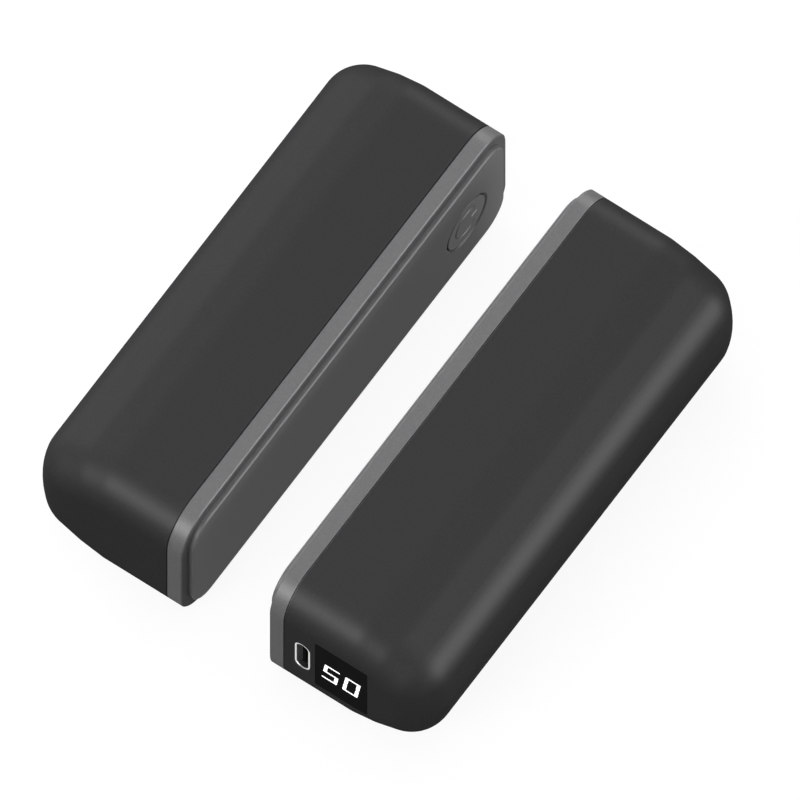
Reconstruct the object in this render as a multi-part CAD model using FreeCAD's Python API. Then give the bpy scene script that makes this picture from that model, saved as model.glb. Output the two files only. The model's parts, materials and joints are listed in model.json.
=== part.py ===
"""Rechargeable hand warmer in two equal magnetic halves, lying flat and drawn apart.

Each half is modelled with its mating face on the plane x = 0, its body towards -X, its charging
end towards +Y and its flat side on z = 0. The left half is then moved to -X, and the right half is
the same half turned by 180 degrees about the vertical. Millimetres.
"""
import FreeCAD, Part
import math
import os

# Casing of one half
half_length = 100.0
half_height = 32.1
end_radius = 7.8
edge_radius = 8.0
first_facet_turn = 15.0
first_facet_width = 4.25
second_facet_turn = 27.0
second_facet_width = 4.55
back_turn = 79.0
shell_wall = 1.8
halves_gap = 16.5

# Rim and raised panel of the mating face
rim_depth = 3.25
rim_edge = 0.2
panel_margin = 2.14
panel_proud = 1.1
panel_seat = 0.9
panel_edge = 0.22
panel_fit = 0.05
panel_ledge = 2.5
seam_width = 0.25
seam_depth = 0.35

# Inner frame, its adhesive tape and its screws
tape_thickness = 0.2
tape_inset = 0.3
frame_thickness = 1.6
frame_fit = 0.15
boss_radius = 2.2
boss_web = 1.6
boss_end_inset = 10.2
boss_board_gap = 2.5
screw_radius = 1.0
screw_head_radius = 1.9
screw_head_height = 1.2
screw_clearance = 0.15
screw_bite = 0.03
screw_end_gap = 0.8
driver_slot_width = 0.5
driver_slot_length = 2.2
driver_slot_depth = 0.6

# Magnets
magnet_radius = 6.0
magnet_gap = 0.25
magnet_fit = 0.05
magnet_cup_wall = 1.0
magnet_cup_height = 1.4
magnet_button_gap = 0.7

# Power button and its tact switch
button_inset = 13.6
button_drop = 0.5
button_hole_radius = 5.85
button_hole_chamfer = 0.42
button_cap_gap = 0.2
button_recess = 0.1
button_edge = 0.12
button_travel = 0.4
flange_width = 0.95
flange_thickness = 0.8
flange_gap = 0.15
stem_radius = 2.0
running_fit = 0.05
sign_radius = 3.3
sign_stroke = 0.5
sign_depth = 0.25
sign_opening = 84.0
sign_bar_start = 1.5
sign_bar_length = 1.75
switch_size = 6.2
switch_gap = 0.55
switch_floor = 0.6
plunger_radius = 1.7
plunger_proud = 0.9
plunger_floor_gap = 0.3

# Charging socket
port_setback = 6.99
port_drop = 0.6
socket_width = 8.94
socket_thickness = 3.16
socket_length = 7.35
socket_metal = 0.3
socket_recess = 0.1
socket_fit = 0.12
tongue_width = 6.7
tongue_thickness = 0.7
tongue_setback = 0.7
tongue_base = 1.8
tongue_fit = 0.02
contact_count = 12
contact_pitch = 0.5
contact_width = 0.26
contact_length = 3.4
contact_thickness = 0.05
contact_setback = 0.5

# Display
window_setback = 9.72
window_width = 11.18
window_height = 15.7
window_drop = 0.15
window_thickness = 0.8
window_corner = 0.4
window_fit = 0.03
window_ledge = 0.9
digit_height = 5.4
digit_width = 3.2
digit_pitch = 4.4
digit_stroke = 0.7
digit_bar_height = 0.45
digit_split = 0.2
digit_slant = 8.0
digit_drop = 0.8
digit_depth = 0.5
digit_corner = 0.2
module_height = 12.6
module_depth = 6.5
module_gap = 0.1

# Circuit board and what stands on it
board_thickness = 1.2
board_length = 31.0
board_end_gap = 0.3
board_side_gap = 1.25
board_inner_corner = 1.0
board_hole_side_inset = 2.5
board_hole_inner_inset = 4.0
board_hole_outer_inset = 6.5
standoff_radius = 2.0
chip_size = 5.0
chip_height = 0.9
chip_spacing = 9.5
chip_switch_gap = 2.0
inductor_size = 6.0
inductor_gap = 1.2
inductor_corner = 1.0
capacitor_count = 4
capacitor_length = 1.6
capacitor_width = 0.8
capacitor_height = 0.8
capacitor_pitch = 2.4
capacitor_gap = 1.5

# Cell, its cradle and its tabs
cell_diameter = 18.4
cell_length = 65.0
cell_edge = 1.0
cell_cap_radius = 3.5
cell_cap_height = 0.8
cell_gap = 0.7
tab_width = 6.0
tab_thickness = 0.15
tab_tail = 3.0
tab_end_gap = 0.6
saddle_thickness = 5.0
saddle_half_width = 5.0
saddle_inset = 10.0
saddle_board_gap = 3.0
cradle_spine = 1.2
cell_fit = 0.05
pad_thickness = 1.8
pad_half_width = 5.0
pad_inset = 8.0

# Heater, sensor and leads
bond_gap = 0.1
spreader_thickness = 0.5
film_thickness = 0.25
film_end_inset = 1.0
spreader_end_gap = 2.0
bead_radius = 1.2
bead_length = 4.0
bead_edge = 0.5
lead_setback = 2.4
lead_pitch = 1.8
heater_lead_radius = 0.5
sensor_lead_radius = 0.3
contact_touch = 0.05
battery_lead_radius = 0.65
battery_lead_bend = 2.2
battery_lead_on_tab = 5.0
battery_lead_screw_gap = 0.4
battery_lead_saddle_gap = 0.4

# Overshoot of a cutting tool, least corner, flat left on a slot's round end, tolerance of a place
overcut = 1.0
least_corner = 0.2
slot_end_flat = 0.002
tolerance = 1e-4
quarter_turn = 90.0

# Places that follow from the sizes, front to back along X
V = FreeCAD.Vector
mid_z = half_height / 2
button_z = mid_z - button_drop
rim_front_x = -panel_proud
panel_back_x = rim_front_x - panel_seat
rim_back_x = rim_front_x - rim_depth
frame_front_x = rim_back_x - tape_thickness
frame_back_x = frame_front_x - frame_thickness
port_x = rim_front_x - port_setback
port_z = mid_z - port_drop
board_front_x = port_x - socket_thickness / 2
board_back_x = board_front_x - board_thickness
cell_radius = cell_diameter / 2
cell_front_x = board_back_x - cell_gap
cell_x = cell_front_x - cell_radius
film_back_x = cell_x - cell_radius - pad_thickness
shell_back_x = film_back_x - film_thickness - spreader_thickness - bond_gap - shell_wall

# Back of the casing: a flat side, two facets and a slightly crowned back, joined by rounded edges
first_turn = math.radians(first_facet_turn)
second_turn = math.radians(second_facet_turn)
crown_turn = math.radians(back_turn)
side_edge_z = half_height / 2 - edge_radius
facet_edge_z = side_edge_z - first_facet_width * math.sin(first_turn)
back_edge_z = facet_edge_z - second_facet_width * math.sin(second_turn)
crown_reach = back_edge_z / math.cos(crown_turn)
crown_radius = crown_reach + edge_radius
back_crown = crown_reach * (1 - math.sin(crown_turn))
back_edge_x = shell_back_x + back_crown + edge_radius
facet_edge_x = back_edge_x + second_facet_width * math.cos(second_turn)
side_edge_x = facet_edge_x + first_facet_width * math.cos(first_turn)
rounded_edges = [(side_edge_x, side_edge_z, 0, first_facet_turn),
                 (facet_edge_x, facet_edge_z, first_facet_turn, second_facet_turn),
                 (back_edge_x, back_edge_z, second_facet_turn, back_turn)]
end_round = min(end_radius, edge_radius - least_corner)
spreader_inset = shell_wall + bond_gap
film_inset = spreader_inset + spreader_thickness
heated_inset = film_inset + film_thickness

# Places along Y, from the charging end
end_y = half_length / 2
inner_end_y = end_y - shell_wall
button_y = end_y - button_inset
board_y1 = inner_end_y - board_end_gap
board_y0 = board_y1 - board_length
module_y1 = inner_end_y - module_gap
module_y0 = module_y1 - module_depth
cell_y0 = (module_y0 - inner_end_y - cell_length) / 2
cell_y1 = cell_y0 + cell_length
lead_y = cell_y1 + lead_setback
spreader_y0 = end_round - shell_wall - inner_end_y
spreader_y1 = module_y0 - spreader_end_gap
socket_y1 = end_y - socket_recess
socket_y0 = socket_y1 - socket_length

# Places across the face
rim_opening_margin = panel_margin + panel_ledge
boss_z = half_height / 2 - rim_opening_margin - screw_head_radius - screw_clearance
bosses_y = (board_y0 - boss_radius - boss_board_gap, boss_end_inset - inner_end_y)
boss_places = [(y, side * boss_z) for y in bosses_y for side in (-1, 1)]
board_half_width = half_height / 2 - shell_wall - board_side_gap
board_hole_z = board_half_width - board_hole_side_inset
board_holes_y = (board_y0 + board_hole_inner_inset, board_y1 - board_hole_outer_inset)
board_holes = [(y, side * board_hole_z) for y in board_holes_y for side in (-1, 1)]
button_cap_radius = button_hole_radius - button_cap_gap
flange_radius = button_cap_radius + flange_width
flange_front_x = panel_back_x - flange_gap
magnet_y = (button_y - flange_radius - magnet_button_gap - magnet_cup_wall - magnet_fit - magnet_radius)
magnet_front_x = panel_back_x - magnet_gap
switch_top_x = frame_back_x - switch_gap
plunger_top_x = switch_top_x + plunger_proud
switch_floor_x = board_front_x + switch_floor
window_x = rim_front_x - window_setback - window_width / 2
window_z = mid_z - window_drop
digit_z = mid_z - digit_drop


def block(x_range, y_range, z_range):
    """Box between three pairs of limits, each given in any order."""
    low = V(min(x_range), min(y_range), min(z_range))
    high = V(max(x_range), max(y_range), max(z_range))
    size = high - low
    return Part.makeBox(size.x, size.y, size.z, low)


def rod(start, end, radius):
    """Round rod between two points."""
    return Part.makeCylinder(radius, (end - start).Length, start, end - start)


def join(solids):
    """One solid from solids that touch or overlap."""
    return solids[0].fuse(solids[1:]).removeSplitter()


def edges_along(shape, axis):
    """Straight edges that run along an axis."""
    lines = [edge for edge in shape.Edges if edge.Curve.TypeId == "Part::GeomLine"]
    return [edge for edge in lines if abs(edge.tangentAt(edge.FirstParameter).dot(axis)) > 1 - tolerance]


def edges_on_plane(shape, x):
    """Edges that lie on the plane at this x."""
    return [edge for edge in shape.Edges
            if abs(edge.BoundBox.XMin - x) < tolerance and abs(edge.BoundBox.XMax - x) < tolerance]


def rounded_plate(x_range, length, height, radius):
    """Plate across the face, a rectangle with rounded corners."""
    plate = block(x_range, (-length / 2, length / 2), (mid_z - height / 2, mid_z + height / 2))
    return plate.makeFillet(max(radius, least_corner), edges_along(plate, V(1, 0, 0)))


def inset_plate(x_range, inset):
    """Plate that follows the casing's front outline at this distance inside it."""
    return rounded_plate(x_range, half_length - 2 * inset, half_height - 2 * inset, end_round - inset)


def edge_arc(rounded_edge, inset, side, y):
    """Start, middle and end of a rounded edge, whose turns run from the flat side (0) to the back (90)."""
    centre_x, centre_z, turn_from, turn_to = rounded_edge
    reach = edge_radius - inset
    points = []
    for turn in (turn_from, (turn_from + turn_to) / 2, turn_to):
        angle = math.radians(turn)
        points.append(V(centre_x - reach * math.sin(angle), y,
                        mid_z + side * (centre_z + reach * math.cos(angle))))
    return points


def section_prism(x_front, inset, y_range):
    """Casing's section, this far inside its outside, drawn out along Y with square ends."""
    y = y_range[0]
    lower = [edge_arc(rounded_edge, inset, -1, y) for rounded_edge in rounded_edges]
    upper = [edge_arc(rounded_edge, inset, 1, y)[::-1] for rounded_edge in reversed(rounded_edges)]
    crown = [lower[-1][-1], V(shell_back_x + inset, y, mid_z), upper[0][0]]
    bottom, top = V(x_front, y, lower[0][0].z), V(x_front, y, upper[-1][-1].z)
    lines = [(top, bottom), (bottom, lower[0][0]), (upper[-1][-1], top)]
    for arcs in (lower, upper):
        lines += [(arc[-1], next_arc[0]) for arc, next_arc in zip(arcs, arcs[1:])]
    outline = [Part.makeLine(*line) for line in lines]
    outline += [Part.Arc(*arc).toShape() for arc in lower + [crown] + upper]
    wire = Part.Wire(Part.__sortEdges__(outline))
    return Part.Face(wire).extrude(V(0, y_range[1] - y_range[0], 0))


def casing_body(x_front, inset):
    """Body with a faceted back and rounded ends, this far inside the casing's outside."""
    y_end = half_length / 2 - inset
    body = section_prism(x_front, inset, (-y_end, y_end))
    ends = [edge for edge in body.Edges
            if edge.BoundBox.YLength < tolerance and abs(edge.BoundBox.XMin - x_front) > tolerance]
    return body.makeFillet(end_round - inset, ends)


def stadium(width, thickness, y_range):
    """Upright slot form round the socket's axis."""
    form = block((port_x - thickness / 2, port_x + thickness / 2), y_range,
                 (port_z - width / 2, port_z + width / 2))
    return form.makeFillet((thickness - slot_end_flat) / 2, edges_along(form, V(0, 1, 0)))


def screw(start, direction, length):
    """Pan-head screw: start is under the head, direction is the way that it drives."""
    shank = rod(start, start + direction * length, screw_radius)
    head = rod(start - direction * screw_head_height, start, screw_head_radius)
    slot_bottom = start.x - direction.x * (screw_head_height - driver_slot_depth)
    slot_top = start.x - direction.x * (screw_head_height + overcut)
    half_width = driver_slot_width / 2
    half_length_of_slot = driver_slot_length / 2
    body = join([shank, head])
    for half_y, half_z in ((half_width, half_length_of_slot), (half_length_of_slot, half_width)):
        body = body.cut(block((slot_bottom, slot_top), (start.y - half_y, start.y + half_y),
                              (start.z - half_z, start.z + half_z)))
    return body


def window_form(inset, y_range):
    """Upright rectangle of the display window, this far inside its recess."""
    half_x = window_width / 2 - inset
    half_z = window_height / 2 - inset
    form = block((window_x - half_x, window_x + half_x), y_range, (window_z - half_z, window_z + half_z))
    return form.makeFillet(window_corner, edges_along(form, V(0, 1, 0)))


def back_shell():
    """Half-round casing with screw bosses, the socket's slot and the display's recess."""
    shell = casing_body(rim_back_x, 0).cut(casing_body(rim_back_x + overcut, shell_wall))
    wall_middle = half_height / 2 - shell_wall / 2
    boss_span = (frame_back_x, board_back_x)
    for y, z in boss_places:
        shell = shell.fuse(rod(V(boss_span[0], y, mid_z + z), V(boss_span[1], y, mid_z + z), boss_radius))
        wall_z = mid_z + math.copysign(wall_middle, z)
        shell = shell.fuse(block(boss_span, (y - boss_web / 2, y + boss_web / 2), (mid_z + z, wall_z)))
    for y, z in boss_places:
        hole_start = V(boss_span[0] + overcut, y, mid_z + z)
        hole_end = V(boss_span[1] - overcut, y, mid_z + z)
        shell = shell.cut(rod(hole_start, hole_end, screw_radius + screw_bite))
    through_end = (inner_end_y - overcut, end_y + overcut)
    shell = shell.cut(stadium(socket_width + 2 * socket_fit, socket_thickness + 2 * socket_fit, through_end))
    shell = shell.cut(window_form(0, (end_y - window_thickness, end_y + overcut)))
    shell = shell.cut(window_form(window_ledge, through_end))
    return shell.removeSplitter()


def face_rim():
    """Grey band with a ledge for the panel and a shadow seam towards the shell."""
    rim = inset_plate((rim_back_x, rim_front_x), 0)
    rim = rim.makeChamfer(rim_edge, edges_on_plane(rim, rim_front_x))
    seam = inset_plate((rim_back_x, rim_back_x + seam_width), 0)
    rim = rim.cut(seam.cut(inset_plate((rim_back_x, rim_back_x + seam_width), seam_depth)))
    rim = rim.cut(inset_plate((panel_back_x, rim_front_x + overcut), panel_margin - panel_fit))
    return rim.cut(inset_plate((rim_back_x - overcut, rim_front_x), rim_opening_margin))


def face_panel():
    """Raised plate with the button's chamfered hole."""
    panel = inset_plate((panel_back_x, 0), panel_margin)
    panel = panel.makeChamfer(panel_edge, edges_on_plane(panel, 0))
    centre = V(0, button_y, button_z)
    hole = rod(centre + V(overcut, 0, 0), centre + V(panel_back_x - overcut, 0, 0), button_hole_radius)
    bevel = Part.makeCone(button_hole_radius + button_hole_chamfer, button_hole_radius, button_hole_chamfer,
                          centre, V(-1, 0, 0))
    return panel.cut(hole).cut(bevel)


def adhesive_frame():
    """Tape between the rim and the inner frame."""
    span = (frame_front_x, rim_back_x)
    outside = inset_plate(span, shell_wall + frame_fit + tape_inset)
    return outside.cut(inset_plate((span[0] - overcut, span[1] + overcut), rim_opening_margin))


def inner_frame():
    """Plate with magnet cups in front, board standoffs behind and the button's guide."""
    plate = inset_plate((frame_back_x, frame_front_x), shell_wall + frame_fit)
    cups = [rod(V(frame_back_x, y, mid_z), V(frame_front_x + magnet_cup_height, y, mid_z),
                magnet_radius + magnet_fit + magnet_cup_wall) for y in (magnet_y, -magnet_y)]
    posts = [rod(V(board_front_x, y, mid_z + z), V(frame_front_x, y, mid_z + z), standoff_radius)
             for y, z in board_holes]
    frame = join([plate] + cups + posts)
    for y in (magnet_y, -magnet_y):
        frame = frame.cut(rod(V(frame_front_x, y, mid_z), V(overcut, y, mid_z), magnet_radius + magnet_fit))
    for y, z in boss_places:
        frame = frame.cut(rod(V(frame_back_x - overcut, y, mid_z + z), V(overcut, y, mid_z + z),
                              screw_radius + screw_clearance))
    for y, z in board_holes:
        frame = frame.cut(rod(V(board_front_x - overcut, y, mid_z + z), V(frame_back_x, y, mid_z + z),
                              screw_radius + screw_bite))
    guide = rod(V(frame_back_x - overcut, button_y, button_z), V(overcut, button_y, button_z),
                stem_radius + running_fit)
    return frame.cut(guide)


def frame_screws():
    """Screws through the inner frame into the shell's bosses."""
    length = frame_front_x - board_back_x - screw_end_gap
    return Part.makeCompound([screw(V(frame_front_x, y, mid_z + z), V(-1, 0, 0), length)
                              for y, z in boss_places])


def magnets():
    """Disc magnets behind the panel."""
    return Part.makeCompound([rod(V(frame_front_x, y, mid_z), V(magnet_front_x, y, mid_z), magnet_radius)
                              for y in (magnet_y, -magnet_y)])


def power_sign():
    """Cutter for the open ring and bar, two V grooves, with the gap towards the charging end."""
    centre = V(-button_recess, button_y, button_z)
    half = sign_stroke / 2
    profile = [(-half, 0), (0, -sign_depth), (half, 0), (half, overcut), (-half, overcut), (-half, 0)]
    ring = Part.Face(Part.makePolygon([centre + V(x, sign_radius + across, 0) for across, x in profile]))
    ring.rotate(centre, V(1, 0, 0), sign_opening / 2)
    ring = ring.revolve(centre, V(1, 0, 0), 4 * quarter_turn - sign_opening)
    bar = Part.Face(Part.makePolygon([centre + V(x, sign_bar_start, across) for across, x in profile]))
    return Part.makeCompound([ring, bar.extrude(V(0, sign_bar_length, 0))])


def button_cap():
    """Round cap with a flange behind the panel and a stem down to the switch."""
    centre = V(0, button_y, button_z)
    cap = rod(centre + V(flange_front_x, 0, 0), centre + V(-button_recess, 0, 0), button_cap_radius)
    cap = cap.makeFillet(button_edge, edges_on_plane(cap, -button_recess))
    flange = rod(centre + V(flange_front_x - flange_thickness, 0, 0), centre + V(flange_front_x, 0, 0),
                 flange_radius)
    stem = rod(centre + V(plunger_top_x, 0, 0), centre + V(flange_front_x, 0, 0), stem_radius)
    return join([cap, flange, stem]).cut(power_sign())


def switch_plunger():
    """Plunger of the tact switch, under the button's stem."""
    bottom_x = switch_floor_x + button_travel + plunger_floor_gap
    return rod(V(bottom_x, button_y, button_z), V(plunger_top_x, button_y, button_z), plunger_radius)


def switch_body():
    """Tact switch housing with the plunger's bore."""
    half = switch_size / 2
    body = block((board_front_x, switch_top_x), (button_y - half, button_y + half),
                 (button_z - half, button_z + half))
    bore = rod(V(switch_floor_x, button_y, button_z), V(switch_top_x + overcut, button_y, button_z),
               plunger_radius + running_fit)
    return body.cut(bore)


def main_board():
    """Circuit board with its outer corners rounded to the casing's end."""
    board = block((board_back_x, board_front_x), (board_y0, board_y1),
                  (mid_z - board_half_width, mid_z + board_half_width))
    corners = edges_along(board, V(1, 0, 0))
    outer = [edge for edge in corners if edge.Vertexes[0].Y > (board_y0 + board_y1) / 2]
    board = board.makeFillet(end_round - shell_wall, outer)
    corners = edges_along(board, V(1, 0, 0))
    inner = [edge for edge in corners if abs(edge.Vertexes[0].Y - board_y0) < tolerance]
    board = board.makeFillet(board_inner_corner, inner)
    for y, z in board_holes:
        hole_start = V(board_back_x - overcut, y, mid_z + z)
        hole_end = V(board_front_x + overcut, y, mid_z + z)
        board = board.cut(rod(hole_start, hole_end, screw_radius + screw_clearance))
    return board


def board_screws():
    """Screws through the board into the inner frame's standoffs."""
    length = frame_back_x - board_back_x - screw_end_gap
    return Part.makeCompound([screw(V(board_back_x, y, mid_z + z), V(1, 0, 0), length)
                              for y, z in board_holes])


def on_board(y, z, size_y, size_z, height):
    """Component that stands on the board's front."""
    return block((board_front_x, board_front_x + height), (y - size_y / 2, y + size_y / 2),
                 (mid_z + z - size_z / 2, mid_z + z + size_z / 2))


def board_chips():
    """Charge controller, inductor and a row of capacitors."""
    chip_y = button_y - switch_size / 2 - chip_switch_gap - inductor_size / 2
    inductor_height = frame_back_x - board_front_x - inductor_gap
    chip = on_board(chip_y, -chip_spacing / 2, chip_size, chip_size, chip_height)
    inductor = on_board(chip_y, chip_spacing / 2, inductor_size, inductor_size, inductor_height)
    inductor = inductor.makeFillet(inductor_corner, edges_along(inductor, V(1, 0, 0)))
    row_y = chip_y - inductor_size / 2 - capacitor_gap - capacitor_length / 2
    row = [on_board(row_y, (index - (capacitor_count - 1) / 2) * capacitor_pitch,
                    capacitor_length, capacitor_width, capacitor_height) for index in range(capacitor_count)]
    return Part.makeCompound([chip, inductor] + row)


def usb_shell():
    """Drawn metal shell of the socket, closed at the back."""
    outside = stadium(socket_width, socket_thickness, (socket_y0, socket_y1))
    inside = stadium(socket_width - 2 * socket_metal, socket_thickness - 2 * socket_metal,
                     (socket_y0 + socket_metal, socket_y1 + overcut))
    return outside.cut(inside)


def usb_tongue():
    """Plastic base in the socket's back and the tongue that stands out of it."""
    base_y0 = socket_y0 + socket_metal
    base = stadium(socket_width - 2 * socket_metal - 2 * tongue_fit,
                   socket_thickness - 2 * socket_metal - 2 * tongue_fit, (base_y0, base_y0 + tongue_base))
    tongue = block((port_x - tongue_thickness / 2, port_x + tongue_thickness / 2),
                   (base_y0, socket_y1 - tongue_setback),
                   (port_z - tongue_width / 2, port_z + tongue_width / 2))
    return join([base, tongue])


def usb_contacts():
    """Contact strips on both faces of the tongue."""
    y1 = socket_y1 - tongue_setback - contact_setback
    strips = []
    for side in (-1, 1):
        face_x = port_x + side * tongue_thickness / 2
        for index in range(contact_count):
            z = port_z + (index - (contact_count - 1) / 2) * contact_pitch
            strips.append(block((face_x, face_x + side * contact_thickness), (y1 - contact_length, y1),
                                (z - contact_width / 2, z + contact_width / 2)))
    return Part.makeCompound(strips)


def digit_bar(centre_u, u_range, v_range):
    """One slanted stroke of a digit: u runs from the rim towards the back, v runs upwards."""
    lean = math.tan(math.radians(digit_slant))
    places = [(u_range[0], v_range[0]), (u_range[1], v_range[0]),
              (u_range[1], v_range[1]), (u_range[0], v_range[1])]
    corners = [V(window_x - centre_u - u - v * lean, end_y - digit_depth, digit_z + v) for u, v in places]
    return Part.Face(Part.makePolygon(corners + corners[:1])).extrude(V(0, digit_depth, 0))


def digit(centre_u, strokes):
    """Digit or part of one, of joined strokes, each named for its side."""
    right, top = digit_width / 2, digit_height / 2
    inner_right, inner_top = right - digit_stroke, top - digit_bar_height
    half, split = digit_bar_height / 2, digit_split / 2
    bars = {"top": ((-right, right), (inner_top, top)),
            "middle": ((-right, right), (-half, half)),
            "bottom": ((-right, right), (-top, -inner_top)),
            "upper_left": ((-right, -inner_right), (split, top)),
            "upper_right": ((inner_right, right), (split, top)),
            "lower_left": ((-right, -inner_right), (-top, -split)),
            "lower_right": ((inner_right, right), (-top, -split))}
    solid = join([digit_bar(centre_u, *bars[name]) for name in strokes])
    return solid.makeFillet(digit_corner, edges_along(solid, V(0, 1, 0)))


def display_digits():
    """The lit digits five and nought, flush with the window; the nought is in two halves."""
    five = digit(-digit_pitch / 2, ["top", "upper_left", "middle", "lower_right", "bottom"])
    upper = digit(digit_pitch / 2, ["top", "upper_left", "upper_right"])
    lower = digit(digit_pitch / 2, ["lower_left", "lower_right", "bottom"])
    return Part.makeCompound([five, upper, lower])


def display_window():
    """Dark window, flush with the casing's end, with the digits let into it."""
    pane = window_form(window_fit, (end_y - window_thickness, end_y + overcut))
    return pane.common(casing_body(rim_back_x, 0)).cut(display_digits())


def display_module():
    """Light block behind the window, soldered to the board's back."""
    half_x = board_back_x - window_x
    body = block((window_x - half_x, window_x + half_x), (module_y0, module_y1),
                 (mid_z - module_height / 2, mid_z + module_height / 2))
    return body.common(casing_body(rim_back_x, shell_wall + module_gap))


def battery_cell():
    """Round cell with its plus cap towards the charging end."""
    can_y1 = cell_y1 - cell_cap_height
    can = rod(V(cell_x, cell_y0, mid_z), V(cell_x, can_y1, mid_z), cell_radius)
    rims = [edge for edge in can.Edges if edge.Curve.TypeId == "Part::GeomCircle"]
    can = can.makeFillet(cell_edge, rims)
    return join([can, rod(V(cell_x, can_y1, mid_z), V(cell_x, cell_y1, mid_z), cell_cap_radius)])


def cell_tabs():
    """Nickel strips across the cell's two ends."""
    x_range = (cell_x - tab_tail, cell_front_x - tab_end_gap)
    z_range = (mid_z - tab_width / 2, mid_z + tab_width / 2)
    return Part.makeCompound([block(x_range, (cell_y1, cell_y1 + tab_thickness), z_range),
                              block(x_range, (cell_y0 - tab_thickness, cell_y0), z_range)])


def cell_cradle():
    """Two saddles on a spine, between the inner frame and the cell."""
    half = saddle_thickness / 2
    saddles_y = (cell_y0 + saddle_inset, board_y0 - saddle_board_gap - half)
    z_range = (mid_z - saddle_half_width, mid_z + saddle_half_width)
    spine = block((frame_back_x, frame_back_x - cradle_spine), (saddles_y[0] - half, saddles_y[1] + half),
                  z_range)
    saddles = [block((frame_back_x, cell_x), (y - half, y + half), z_range) for y in saddles_y]
    seat = rod(V(cell_x, cell_y0, mid_z), V(cell_x, cell_y1, mid_z), cell_radius + cell_fit)
    return join([spine] + saddles).cut(seat)


def curved_sheet(inset, thickness, y_range):
    """Sheet along the casing's faceted back, behind the cell's middle."""
    outside = section_prism(rim_back_x, inset, y_range)
    inside = section_prism(rim_back_x, inset + thickness, y_range)
    return outside.cut(inside).common(block((shell_back_x, cell_x), y_range, (0, half_height)))


def heat_spreader():
    """Aluminium sheet bonded inside the faceted back."""
    return curved_sheet(spreader_inset, spreader_thickness, (spreader_y0, spreader_y1))


def heater_film():
    """Heating film on the spreader's inside."""
    y_range = (spreader_y0 + film_end_inset, spreader_y1 - film_end_inset)
    return curved_sheet(film_inset, film_thickness, y_range)


def cell_pad():
    """Foam pad between the cell's back and the heater film."""
    y_range = (cell_y0 + pad_inset, cell_y1 - pad_inset)
    room = section_prism(rim_back_x, heated_inset + cell_fit, y_range)
    strip = block((shell_back_x, cell_x), y_range, (mid_z - pad_half_width, mid_z + pad_half_width))
    cell = rod(V(cell_x, y_range[0], mid_z), V(cell_x, y_range[1], mid_z), cell_radius + cell_fit)
    return strip.common(room).cut(cell)


def thermistor():
    """Sensor bead on the film's back, past the cell's plus end."""
    centre = V(film_back_x + bead_radius + contact_touch, lead_y, mid_z)
    offset = V(0, bead_length / 2, 0)
    bead = rod(centre - offset, centre + offset, bead_radius)
    rims = [edge for edge in bead.Edges if edge.Curve.TypeId == "Part::GeomCircle"]
    return bead.makeFillet(bead_edge, rims)


def battery_lead_red():
    """Plus lead, from the tab straight up to the board's back."""
    y = cell_y1 + tab_thickness + battery_lead_radius + contact_touch
    return rod(V(cell_x + battery_lead_on_tab, y, mid_z), V(board_back_x - contact_touch, y, mid_z),
               battery_lead_radius)


def bent_lead(points, radius, bend):
    """Round lead along straight runs joined by tangent arcs."""
    edges = []
    start = points[0]
    for before, corner, after in zip(points, points[1:], points[2:]):
        towards = (before - corner).normalize()
        away = (after - corner).normalize()
        half_turn = towards.getAngle(away) / 2
        setback = bend / math.tan(half_turn)
        bisector = (towards + away).normalize()
        middle = corner + bisector * (bend / math.sin(half_turn) - bend)
        arc_start, arc_end = corner + towards * setback, corner + away * setback
        edges.append(Part.LineSegment(start, arc_start).toShape())
        edges.append(Part.Arc(arc_start, middle, arc_end).toShape())
        start = arc_end
    edges.append(Part.LineSegment(start, points[-1]).toShape())
    section = Part.Wire(Part.makeCircle(radius, points[0], points[1] - points[0]))
    return Part.Wire(edges).makePipeShell([section], True, False)


def battery_lead_black():
    """Minus lead, from the tab round the cell's edge and along the cradle to the board's back."""
    z = mid_z - saddle_half_width - battery_lead_saddle_gap - battery_lead_radius
    y = cell_y0 - tab_thickness - battery_lead_radius - contact_touch
    tab_x = cell_x + battery_lead_on_tab
    run_x = board_back_x - battery_lead_radius - contact_touch
    end_y_on_board = board_holes_y[0] - screw_head_radius - battery_lead_screw_gap
    points = [V(tab_x, y, mid_z), V(tab_x, y, z), V(run_x, y, z), V(run_x, end_y_on_board, z)]
    return bent_lead(points, battery_lead_radius, battery_lead_bend)


def heater_leads():
    """Two leads from the film's back, with the sensor bead's two between them, to the board's back."""
    end_x = board_back_x - contact_touch
    film_radius = crown_radius - heated_inset
    leads_half_width = 3 * lead_pitch / 2 + heater_lead_radius
    film_rise = film_radius - math.sqrt(film_radius ** 2 - leads_half_width ** 2)
    film_x = film_back_x + film_rise + contact_touch
    bead_x = film_back_x + 2 * bead_radius + 2 * contact_touch
    leads = []
    for side in (-1, 1):
        inner_z = mid_z + side * lead_pitch / 2
        outer_z = inner_z + side * lead_pitch
        leads.append(rod(V(film_x, lead_y, outer_z), V(end_x, lead_y, outer_z), heater_lead_radius))
        leads.append(rod(V(bead_x, lead_y, inner_z), V(end_x, lead_y, inner_z), sensor_lead_radius))
    return Part.makeCompound(leads)


pieces = [back_shell, face_rim, face_panel, adhesive_frame, inner_frame, frame_screws, magnets,
          button_cap, switch_plunger, switch_body, main_board, board_screws, board_chips,
          usb_shell, usb_tongue, usb_contacts, display_window, display_digits, display_module,
          battery_cell, cell_tabs, cell_cradle, cell_pad, heat_spreader, heater_film, thermistor,
          battery_lead_red, battery_lead_black, heater_leads]

os.makedirs("parts", exist_ok=True)
for piece in pieces:
    shape = piece()
    shape.translate(V(-halves_gap / 2, 0, 0))
    shape.exportStep("parts/left_" + piece.__name__ + ".step")
    shape.rotate(V(0, 0, 0), V(0, 0, 1), 180)
    shape.exportStep("parts/right_" + piece.__name__ + ".step")
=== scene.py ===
"""Looks of a two-part rechargeable hand warmer: finishes, floor, lights and camera. Metres."""
import bpy
import json
import math
from mathutils import Matrix, Vector


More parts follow.
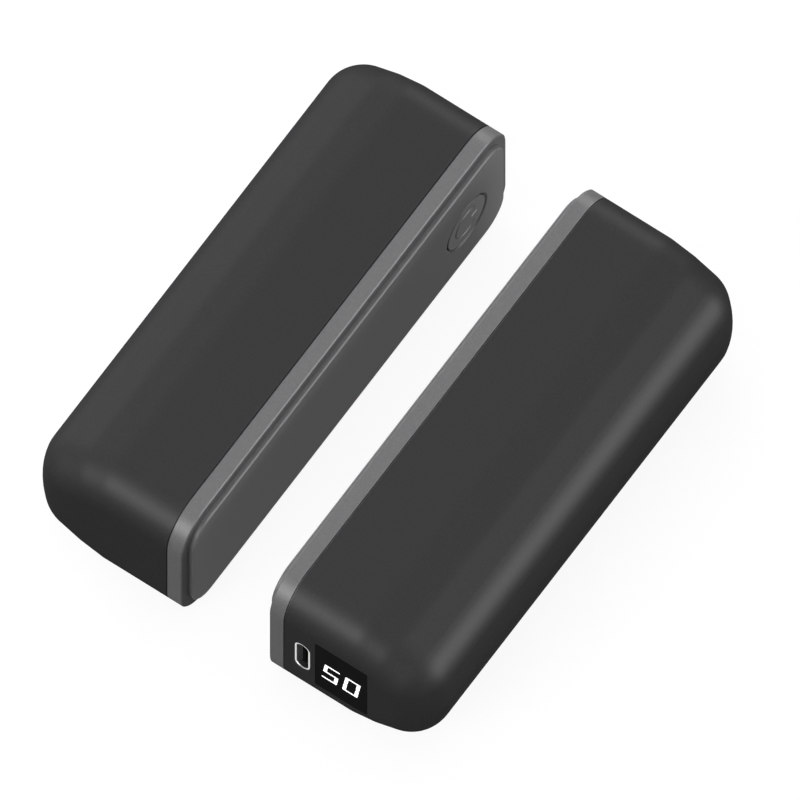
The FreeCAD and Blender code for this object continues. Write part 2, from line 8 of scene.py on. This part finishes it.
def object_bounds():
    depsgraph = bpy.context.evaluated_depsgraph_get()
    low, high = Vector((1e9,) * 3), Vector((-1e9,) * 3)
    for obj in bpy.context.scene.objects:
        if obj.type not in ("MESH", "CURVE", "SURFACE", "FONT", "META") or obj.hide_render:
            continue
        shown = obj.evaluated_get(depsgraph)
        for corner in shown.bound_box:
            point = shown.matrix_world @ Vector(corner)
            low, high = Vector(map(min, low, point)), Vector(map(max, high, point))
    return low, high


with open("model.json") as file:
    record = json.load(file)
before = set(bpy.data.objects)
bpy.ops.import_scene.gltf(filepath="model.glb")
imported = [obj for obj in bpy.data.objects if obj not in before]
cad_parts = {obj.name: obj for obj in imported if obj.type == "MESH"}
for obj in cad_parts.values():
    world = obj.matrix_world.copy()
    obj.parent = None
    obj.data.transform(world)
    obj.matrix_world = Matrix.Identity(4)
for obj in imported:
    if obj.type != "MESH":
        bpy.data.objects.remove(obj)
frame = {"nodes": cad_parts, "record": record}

cad_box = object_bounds()

MM_PER_M = 1000.0
WHITE = "ffffff"

# Sockets of a colour mix: its share, its two colours and its result
MIX_SHARE, MIX_DARK, MIX_LIGHT, MIX_RESULT = 0, 6, 7, 2

# Nearly all of a noise lies between these values
NOISE_LOW = 0.3
NOISE_HIGH = 0.7

# Rays that smooth a softened edge
EDGE_SAMPLES = 6

# The socket's mouth along the part, from its middle, the depth of its lip, behind which shade is painted
# inside the mouth, and the width of the fine lines in its steel with their share in the colour
SOCKET_MOUTH_MM = 49.9
SOCKET_LIP_MM = 0.15
DRAW_LINES_MM = 0.25
DRAW_LINES_SHARE = 0.02

# Camera of the photo, without perspective: its angles, the width that it takes in and the place that
# its middle looks at, sideways and upwards from the middle of the pair
CAMERA_AZIMUTH = 34.67
CAMERA_ELEVATION = 63.27
CAMERA_WIDTH = 0.1402
CAMERA_SIDEWAYS = 0.002164
CAMERA_UPWARDS = -0.000333
CAMERA_DISTANCE = 1.0

# Soft lamps far away: the direction towards each, its strength, how wide it is in degrees, whether it
# lights the colour or only shows in the gloss of the edges, and whether it casts a shadow. The right
# strip also reaches the face behind the other half.
LAMPS = [
    ("lamp_above", (-0.10, 0.15, 1.0), 0.98, 60, True, True),
    ("lamp_left", (-0.90, 0.37, 0.16), 2.8, 40, True, True),
    ("lamp_right", (0.92, 0.37, 0.10), 1.2, 30, True, True),
    ("lamp_front", (-0.26, -0.82, 0.52), 1.35, 30, True, True),
    ("strip_right", (0.91, 0.37, 0.17), 12.4, 50, False, False),
    ("strip_front", (-0.26, -0.82, 0.52), 8.2, 34, False, True),
    ("strip_back", (-0.26, 0.90, 0.33), 3.2, 24, False, True),
]

# The room: the light that falls from all round, and how bright it looks
WORLD_STRENGTH = 0.28
WORLD_IN_VIEW = 1.0

# The floor: its own colour, and the light that lifts it to the photo's white
FLOOR_SIZE = 4.0
FLOOR_DROP = 0.00002
FLOOR_COLOUR = "606060"
FLOOR_LIFT = 0.91


def linear(hex_colour):
    """Linear colour of an sRGB hex value."""
    shares = [int(hex_colour[place:place + 2], 16) / 255 for place in (0, 2, 4)]
    return [share / 12.92 if share <= 0.04045 else ((share + 0.055) / 1.055) ** 2.4
            for share in shares] + [1.0]


def add(tree, kind, inputs=None, **settings):
    """Adds a node with its settings; an input is a value, or a socket to link."""
    node = tree.nodes.new("ShaderNode" + kind)
    for name, value in settings.items():
        setattr(node, name, value)
    for name, value in (inputs or {}).items():
        if isinstance(value, bpy.types.NodeSocket):
            tree.links.new(value, node.inputs[name])
        else:
            node.inputs[name].default_value = value
    return node


def grain(size_mm, stretch=(1, 1, 1), kind="TexNoise", **values):
    """Pattern of this size in the part's own frame, from 0 to 1, ready to be drawn in a material."""
    def draw(tree):
        place = add(tree, "TexCoord").outputs["Object"]
        scale = [MM_PER_M / size_mm / share for share in stretch]
        place = add(tree, "Mapping", {"Vector": place, "Scale": scale}).outputs["Vector"]
        pattern = add(tree, kind, {"Vector": place, "Scale": 1.0, **values})
        if kind == "TexVoronoi":
            return pattern.outputs["Color"]
        spread = add(tree, "MapRange", {"Value": pattern.outputs["Fac"],
                                        "From Min": NOISE_LOW, "From Max": NOISE_HIGH})
        return spread.outputs["Result"]
    return draw


def lip_before_painted_shade(tree):
    """Near 1 on the socket's lip and near 0 behind it, where shade is painted, with faint lines along the
    draw.
    """
    place = add(tree, "TexCoord").outputs["Object"]
    along = add(tree, "SeparateXYZ", {"Vector": place}).outputs["Y"]
    along = add(tree, "Math", {0: along}, operation="ABSOLUTE").outputs[0]
    lip = add(tree, "MapRange", {"Value": along,
                                 "From Min": (SOCKET_MOUTH_MM - SOCKET_LIP_MM) / MM_PER_M,
                                 "From Max": SOCKET_MOUTH_MM / MM_PER_M,
                                 "To Max": 1 - DRAW_LINES_SHARE})
    lines = grain(DRAW_LINES_MM, (1, 20, 1), Detail=1.0)(tree)
    return add(tree, "Math", {0: lines, 1: DRAW_LINES_SHARE, 2: lip.outputs["Result"]},
               operation="MULTIPLY_ADD").outputs[0]


def finish(name, dark, light, roughness, pattern, relief_mm=0.0, edge_mm=0.0, **values):
    """Material whose pattern mixes two colours, changes the roughness and stands out in relief."""
    material = bpy.data.materials.new(name)
    material.use_nodes = True
    tree = material.node_tree
    tree.nodes.clear()
    share = pattern(tree)
    colour = add(tree, "Mix", {MIX_SHARE: share, MIX_DARK: linear(dark), MIX_LIGHT: linear(light)},
                 data_type="RGBA")
    sheen = add(tree, "MapRange", {"Value": share, "To Min": roughness[0], "To Max": roughness[1]})
    inputs = {"Base Color": colour.outputs[MIX_RESULT], "Roughness": sheen.outputs["Result"], **values}
    if edge_mm:
        edge = add(tree, "Bevel", {"Radius": edge_mm / MM_PER_M}, samples=EDGE_SAMPLES)
        inputs["Normal"] = edge.outputs["Normal"]
    if relief_mm:
        relief = {"Height": share, "Distance": relief_mm / MM_PER_M, "Strength": 1.0}
        if edge_mm:
            relief["Normal"] = inputs["Normal"]
        inputs["Normal"] = add(tree, "Bump", relief).outputs["Normal"]
    shader = add(tree, "BsdfPrincipled", inputs)
    add(tree, "OutputMaterial", {"Surface": shader.outputs["BSDF"]})
    return material


# Gloss of the outside: the weak skin of the moulded shell, and the lacquer of the grey pieces
SHELL_SKIN = {"Specular IOR Level": 0.0, "Coat Weight": 0.018, "Coat Roughness": 0.5, "Coat IOR": 3.5}
LACQUER = {"Coat Roughness": 0.42, "Coat IOR": 2.0}

# Flakes of the grey lacquer, about 0.03 mm: too fine to show, so they are drawn at 0.25 mm
flakes = grain(0.25, kind="TexVoronoi")

finishes = {
    # Moulded ABS in satin black: the mould's spark-eroded texture and the plastic's weak skin give a
    # soft, even sheen. Its grain of about 0.05 mm is too fine to show and is drawn at 0.3 mm.
    "shell_black": finish("satin_black_abs", "303031", "363637", (0.48, 0.56), grain(0.3, Detail=3.0),
                          relief_mm=0.004, edge_mm=0.08, **SHELL_SKIN),
    # Sprayed grey lacquer on ABS: fine metal flakes in it give a silky grey.
    "rim_grey": finish("silky_grey_lacquer", "6b6b6c", "747475", (0.40, 0.48), flakes,
                       relief_mm=0.002, edge_mm=0.06, **LACQUER,
                       **{"Specular IOR Level": 0.0, "Coat Weight": 0.08}),
    # The same lacquer with less gloss: an even grey with thin light lines along the edges.
    "panel_grey": finish("grey_lacquered_panel", "707071", "787879", (0.42, 0.50), flakes,
                         relief_mm=0.002, edge_mm=0.06, **LACQUER,
                         **{"Specular IOR Level": 0.03, "Coat Weight": 0.04}),
    # The same lacquer with more gloss: the edges of the engraved sign catch the light.
    "button_grey": finish("grey_lacquered_button", "6a6a6b", "727273", (0.40, 0.48), flakes,
                          relief_mm=0.002, edge_mm=0.06, **LACQUER,
                          **{"Specular IOR Level": 0.03, "Coat Weight": 0.1}),
    # Acrylic foam tape: dull black with a loose web of fibres.
    "tape_black": finish("acrylic_foam_tape", "141414", "202020", (0.85, 0.95), grain(0.4, Detail=4.0),
                         relief_mm=0.02),
    # Moulded ABS, unpainted: dull dark grey with faint flow marks.
    "frame_plastic": finish("dark_moulded_abs", "222223", "2a2a2b", (0.5, 0.62),
                            grain(2.5, (1, 4, 1), Detail=2.0), relief_mm=0.003),
    # Zinc-plated steel: greyish bright with a slight cloudiness.
    "screw_steel": finish("zinc_plated_steel", "9c9c9b", "b4b4b2", (0.28, 0.4), grain(0.5, Detail=2.0),
                          Metallic=1.0),
    # Nickel-plated magnet: mirror-bright with soft tumbling marks.
    "magnet_nickel": finish("nickel_plated_magnet", "bcbab4", "cccac5", (0.14, 0.26),
                            grain(0.8, Detail=3.0), relief_mm=0.001, Metallic=1.0),
    # Turned acetal: smooth black with fine turning rings.
    "plunger_black": finish("black_acetal", "181818", "202020", (0.35, 0.45),
                            grain(0.2, (0.3, 2, 2), Detail=1.0), relief_mm=0.002),
    # Glass-filled nylon: matte black with speckled fibres.
    "switch_black": finish("glass_filled_nylon", "202020", "2a2a2a", (0.6, 0.72),
                           grain(0.25, (1, 3, 1), Detail=3.0), relief_mm=0.003),
    # Glass-epoxy board under green solder mask: the copper tracks show through as paler lines.
    "board_green": finish("green_solder_mask", "17492d", "246b43", (0.3, 0.42),
                          grain(1.2, (1, 6, 1), Detail=0.0), relief_mm=0.02),
    # Moulded epoxy packages: matte grey-black with a sandy texture.
    "chip_black": finish("moulded_epoxy", "1c1c1e", "262628", (0.62, 0.75), grain(0.15, Detail=2.0),
                         relief_mm=0.003),
    # Drawn stainless steel: its own bright colour on the lip, and painted shade, near black, inside the
    # mouth behind it, with faint lines along the draw.
    "usb_steel": finish("stainless_steel_with_painted_shade", "0c0c0c", "dcdcdc", (0.85, 0.28), lip_before_painted_shade,
                        Metallic=1.0),
    # Moulded liquid crystal polymer: black, dull, with fibre streaks along the flow.
    "usb_black": finish("black_liquid_crystal_polymer", "141414", "1c1c1c", (0.5, 0.6),
                        grain(0.15, (1, 8, 1), Detail=2.0), relief_mm=0.001,
                        **{"Specular IOR Level": 0.0}),
    # Gold plating on copper, with faint rolling lines; its colour is darkened as painted shade for its
    # place deep in the socket.
    "contact_gilt": finish("gold_plated_copper", "a8863a", "bd9a4c", (0.38, 0.46),
                           grain(0.08, (1, 12, 1), Detail=1.0), Metallic=1.0),
    # Tinted acrylic with a coat against glare: deep black, wiped, with faint smears in the dull shine.
    "window_dark": finish("tinted_acrylic", "111112", "161617", (0.5, 0.6),
                          grain(5.0, (1, 1, 3), Detail=3.0),
                          **{"Specular IOR Level": 0.0, "Coat Weight": 0.03, "Coat Roughness": 0.15}),
    # Lit digits: white light diffused in the window, a little uneven.
    "digit_white": finish("lit_white_digit", "f0f0f0", WHITE, (0.3, 0.4), grain(1.5, Detail=1.0),
                          **{"Emission Color": linear(WHITE), "Emission Strength": 1.0}),
    # White polycarbonate light block: opaque, with a slight mould texture.
    "module_white": finish("white_polycarbonate", "dededa", "eaeae6", (0.45, 0.58),
                           grain(0.4, Detail=2.0), relief_mm=0.003),
    # Shrunk PVC sleeve: blue, glossy, with soft ripples where it drew tight.
    "cell_wrap": finish("blue_shrink_sleeve", "2a65a3", "3478bb", (0.22, 0.34),
                        grain(6.0, (1, 5, 1), Detail=2.0), relief_mm=0.03),
    # Rolled nickel strip: soft grey shine with rolling lines along it.
    "tab_nickel": finish("rolled_nickel_strip", "acaca8", "c0c0bc", (0.3, 0.42),
                         grain(0.15, (15, 1, 1), Detail=2.0), relief_mm=0.001, Metallic=1.0),
    # Open-cell polyurethane foam: dull grey, pitted with small cells.
    "pad_foam": finish("open_cell_foam", "464646", "666666", (0.9, 1.0), grain(0.6, Detail=2.0),
                       relief_mm=0.15),
    # Rolled aluminium sheet: pale satin with lines along the roll.
    "spreader_aluminium": finish("rolled_aluminium", "bcbcbd", "d0d0d1", (0.3, 0.44),
                                 grain(0.2, (1, 25, 1), Detail=2.0), relief_mm=0.001, Metallic=1.0),
    # Polyimide film over etched foil: amber, with the heater's winding track showing darker.
    "film_amber": finish("amber_polyimide", "8f4e16", "c0721f", (0.28, 0.4),
                         grain(3.0, (4, 1, 4), Detail=0.0), relief_mm=0.01),
    # Epoxy-dipped bead: glossy black with soft drips.
    "bead_black": finish("black_epoxy_dip", "101010", "181818", (0.12, 0.22), grain(1.5, Detail=1.0),
                         relief_mm=0.03),
}

# Silicone-covered leads: satin, with faint extrusion lines
for slot, name, dark, light in (("lead_red", "red_silicone_lead", "a61d19", "bd2622"),
                                ("lead_black", "black_silicone_lead", "121212", "1b1b1b"),
                                ("lead_white", "white_silicone_lead", "dcdcd8", "ecece8")):
    finishes[slot] = finish(name, dark, light, (0.42, 0.52), grain(0.3, (6, 6, 1), Detail=1.0),
                            relief_mm=0.003)

for subpart in frame["record"]["subparts"]:
    node = frame["nodes"][subpart["node"]]
    node.data.materials.clear()
    node.data.materials.append(finishes[subpart["material_slot"]])


def in_view(tree):
    """1 for what the camera sees, also in gloss and through clear pieces, and 0 for falling light."""
    path = add(tree, "LightPath").outputs
    seen = path["Is Camera Ray"]
    for ray in ("Is Glossy Ray", "Is Transmission Ray"):
        seen = add(tree, "Math", {0: seen, 1: path[ray]}, operation="MAXIMUM").outputs[0]
    return seen


def floor():
    """White floor that keeps the part's shadow."""
    half = FLOOR_SIZE / 2
    corners = [(-half, -half), (half, -half), (half, half), (-half, half)]
    mesh = bpy.data.meshes.new("floor")
    mesh.from_pydata([(x, y, -FLOOR_DROP) for x, y in corners], [], [range(len(corners))])
    sheet = bpy.data.objects.new("floor", mesh)
    bpy.context.scene.collection.objects.link(sheet)
    material = bpy.data.materials.new("white_studio_floor")
    material.use_nodes = True
    tree = material.node_tree
    tree.nodes.clear()
    lift = add(tree, "Math", {0: in_view(tree), 1: FLOOR_LIFT}, operation="MULTIPLY").outputs[0]
    shader = add(tree, "BsdfPrincipled", {"Base Color": linear(FLOOR_COLOUR), "Roughness": 1.0,
                                          "Specular IOR Level": 0.0, "Emission Color": linear(WHITE),
                                          "Emission Strength": lift})
    add(tree, "OutputMaterial", {"Surface": shader.outputs["BSDF"]})
    mesh.materials.append(material)


def lights():
    """Even studio light all round, which looks white, and wide lamps far away."""
    world = bpy.data.worlds.new("studio")
    world.use_nodes = True
    tree = world.node_tree
    tree.nodes.clear()
    glow = add(tree, "MapRange", {"Value": in_view(tree), "To Min": WORLD_STRENGTH,
                                  "To Max": WORLD_IN_VIEW})
    light = add(tree, "Background", {"Color": linear(WHITE), "Strength": glow.outputs["Result"]})
    add(tree, "OutputWorld", {"Surface": light.outputs["Background"]})
    bpy.context.scene.world = world
    for name, direction, strength, width, lights_colour, casts_shadow in LAMPS:
        lamp = bpy.data.lights.new(name, "SUN")
        lamp.energy = strength
        lamp.angle = math.radians(width)
        lamp.use_shadow = casts_shadow
        place = bpy.data.objects.new(name, lamp)
        place.matrix_world = Vector(direction).to_track_quat("Z", "Y").to_matrix().to_4x4()
        place.visible_diffuse = lights_colour
        bpy.context.scene.collection.objects.link(place)


def camera():
    """Camera at the photo's angle."""
    azimuth, elevation = math.radians(CAMERA_AZIMUTH), math.radians(CAMERA_ELEVATION)
    right = Vector((math.cos(azimuth), math.sin(azimuth), 0))
    back = Vector((math.cos(elevation) * math.sin(azimuth), -math.cos(elevation) * math.cos(azimuth),
                   math.sin(elevation)))
    up = back.cross(right)
    low, high = (Vector(corner) for corner in cad_box)
    middle = (low + high) / 2 + right * CAMERA_SIDEWAYS + up * CAMERA_UPWARDS
    lens = bpy.data.cameras.new("camera")
    lens.type = "ORTHO"
    lens.ortho_scale = CAMERA_WIDTH
    place = bpy.data.objects.new("camera", lens)
    turn = Matrix((right, up, back)).transposed().to_4x4()
    place.matrix_world = Matrix.Translation(middle + back * CAMERA_DISTANCE) @ turn
    bpy.context.scene.collection.objects.link(place)
    bpy.context.scene.camera = place


floor()
lights()
camera()
bpy.context.scene.view_settings.view_transform = "Standard"
